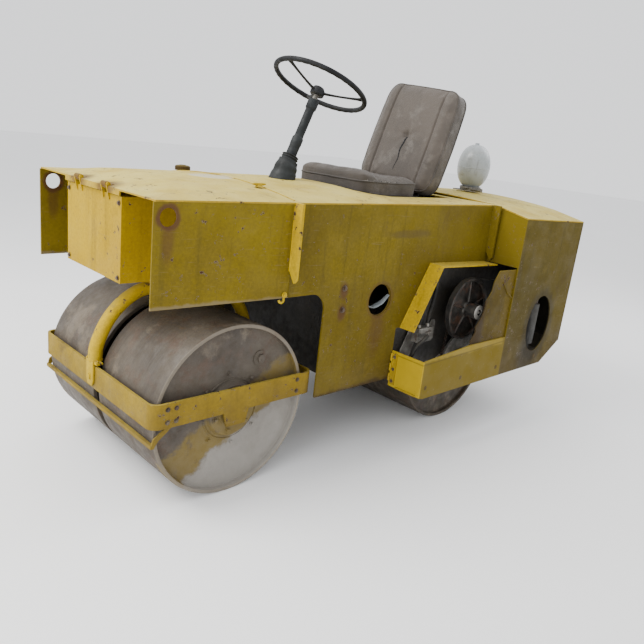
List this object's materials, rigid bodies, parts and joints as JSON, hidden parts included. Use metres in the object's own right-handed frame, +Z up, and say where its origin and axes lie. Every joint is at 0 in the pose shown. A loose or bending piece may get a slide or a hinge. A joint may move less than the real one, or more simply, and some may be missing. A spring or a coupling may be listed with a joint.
{
  "type": "ride-on road roller",
  "caption": "Ride-on tandem road roller with split front drum in a steered rocking frame, driven rear drum, flat yellow plate body, operator's seat and steering wheel.",
  "frame": {"origin": "on the ground under the middle of the machine's bounding box", "axes": "+X forward towards the steered drum, +Y to the operator's left, +Z up"},
  "size_m": [2.5718, 1.362, 1.7346],
  "materials": {
    "yellow_paint": "faded construction-yellow paint, chalky on top, scratched to primer and rust along edges",
    "rusty_steel": "bare rolled steel with brown rust, rolled bright where the ground polishes it",
    "dark_paint": "greasy black and dark grey paint",
    "bright_steel": "machined steel, dulled and oily",
    "vinyl": "worn grey-brown seat vinyl",
    "rubber": "black rubber and hard rubber-coated rim",
    "bowl_plastic": "grey-white moulded plastic, lightly dirty"
  },
  "bodies": {
    "chassis": {"front_side_plate_left": "yellow_paint", "front_side_plate_right": "yellow_paint", "mid_side_plate_left": "yellow_paint", "mid_side_plate_right": "yellow_paint", "front_rib_left": "yellow_paint", "front_rib_right": "yellow_paint", "rear_rib_left": "yellow_paint", "rear_rib_right": "yellow_paint", "rear_side_panel_left": "yellow_paint", "rear_side_panel_right": "yellow_paint", "rear_plate": "yellow_paint", "belt_guard_frame": "yellow_paint", "drive_cover": "yellow_paint", "head_plate_lower": "yellow_paint", "head_plate_upper": "yellow_paint", "steering_head": "yellow_paint", "water_tank": "yellow_paint", "column_deck": "yellow_paint", "seat_deck": "yellow_paint", "rear_deck": "yellow_paint", "bulkhead": "dark_paint", "seat_platform": "dark_paint", "hanger_plate_left": "dark_paint", "hanger_plate_right": "dark_paint", "engine": "dark_paint", "steering_gearbox": "dark_paint", "drive_belt": "rubber", "steering_column": "rubber", "column_boot": "rubber", "drive_chain": "rusty_steel", "silencer": "bright_steel", "air_cleaner_base": "bright_steel", "seat_rail_left": "bright_steel", "seat_rail_right": "bright_steel", "air_cleaner_bowl": "bowl_plastic"},
    "hood": {"hood_lid": "yellow_paint"},
    "latch": {"hood_latch": "rusty_steel"},
    "cap": {"filler_cap": "dark_paint"},
    "yoke": {"kingpin": "bright_steel", "front_arm": "yellow_paint", "rear_arm": "yellow_paint"},
    "drum_frame": {"frame_bar_front": "yellow_paint", "frame_bar_rear": "yellow_paint", "frame_bar_left": "yellow_paint", "frame_bar_right": "yellow_paint", "front_scraper": "yellow_paint", "front_axle": "bright_steel"},
    "drum_front_left": {"front_drum_left": "rusty_steel"},
    "drum_front_right": {"front_drum_right": "rusty_steel"},
    "drum_rear": {"rear_drum": "rusty_steel", "rear_axle": "bright_steel"},
    "drive_shaft": {"drive_pulley": "bright_steel"},
    "crank": {"engine_pulley": "bright_steel"},
    "wheel": {"steering_wheel": "rubber", "steering_shaft": "bright_steel"},
    "seat": {"seat_pan": "dark_paint", "back_frame": "dark_paint", "seat_cushion": "vinyl", "seat_back": "vinyl"},
    "lever": {"travel_lever": "dark_paint"}
  },
  "joints": [
    {"name": "yoke_steer", "type": "hinge", "parent": "chassis", "child": "yoke", "pos_m": [0.901, 0, 0.8], "axis": [0, 0, 1], "range_deg": [-25, 25]},
    {"name": "frame_rock", "type": "hinge", "parent": "yoke", "child": "drum_frame", "pos_m": [0.901, 0, 0.405], "axis": [1, 0, 0], "range_deg": [-5, 5]},
    {"name": "front_drum_left_spin", "type": "hinge", "parent": "drum_frame", "child": "drum_front_left", "pos_m": [0.901, 0.237, 0.35], "axis": [0, 1, 0], "continuous": true},
    {"name": "front_drum_right_spin", "type": "hinge", "parent": "drum_frame", "child": "drum_front_right", "pos_m": [0.901, -0.237, 0.35], "axis": [0, 1, 0], "continuous": true},
    {"name": "rear_drum_spin", "type": "hinge", "parent": "chassis", "child": "drum_rear", "pos_m": [-0.524, 0, 0.35], "axis": [0, 1, 0], "continuous": true},
    {"name": "drive_shaft_spin", "type": "hinge", "parent": "chassis", "child": "drive_shaft", "pos_m": [-0.44, 0.54, 0.65], "axis": [0, 1, 0], "continuous": true},
    {"name": "crank_spin", "type": "hinge", "parent": "chassis", "child": "crank", "pos_m": [-0.93, 0.53, 0.69], "axis": [0, 1, 0], "continuous": true},
    {"name": "wheel_turn", "type": "hinge", "parent": "chassis", "child": "wheel", "pos_m": [0.388, 0, 1.197], "axis": [-0.4008, 0, 0.9162], "range_deg": [-540, 540]},
    {"name": "hood_open", "type": "hinge", "parent": "chassis", "child": "hood", "pos_m": [1.277, 0, 1.17], "axis": [0, 1, 0], "range_deg": [0, 60]},
    {"name": "latch_turn", "type": "hinge", "parent": "hood", "child": "latch", "pos_m": [0.732, 0.285, 1.2], "axis": [0, 0, 1], "range_deg": [0, 90]},
    {"name": "cap_turn", "type": "hinge", "parent": "chassis", "child": "cap", "pos_m": [0.64, -0.42, 1.19], "axis": [0, 0, 1], "range_deg": [0, 90]},
    {"name": "seat_slide", "type": "slide", "parent": "chassis", "child": "seat", "axis": [1, 0, 0], "range_m": [-0.055, 0.055]},
    {"name": "lever_tilt", "type": "hinge", "parent": "chassis", "child": "lever", "pos_m": [-0.56, -0.3, 1.1], "axis": [0, 1, 0], "range_deg": [-18, 18]}
  ],
  "couplings": [
    {"joint": "drive_shaft_spin", "follows": "rear_drum_spin", "ratio": 4},
    {"joint": "crank_spin", "follows": "rear_drum_spin", "ratio": 10.667},
    {"joint": "wheel_turn", "follows": "yoke_steer", "ratio": 21.6}
  ]
}
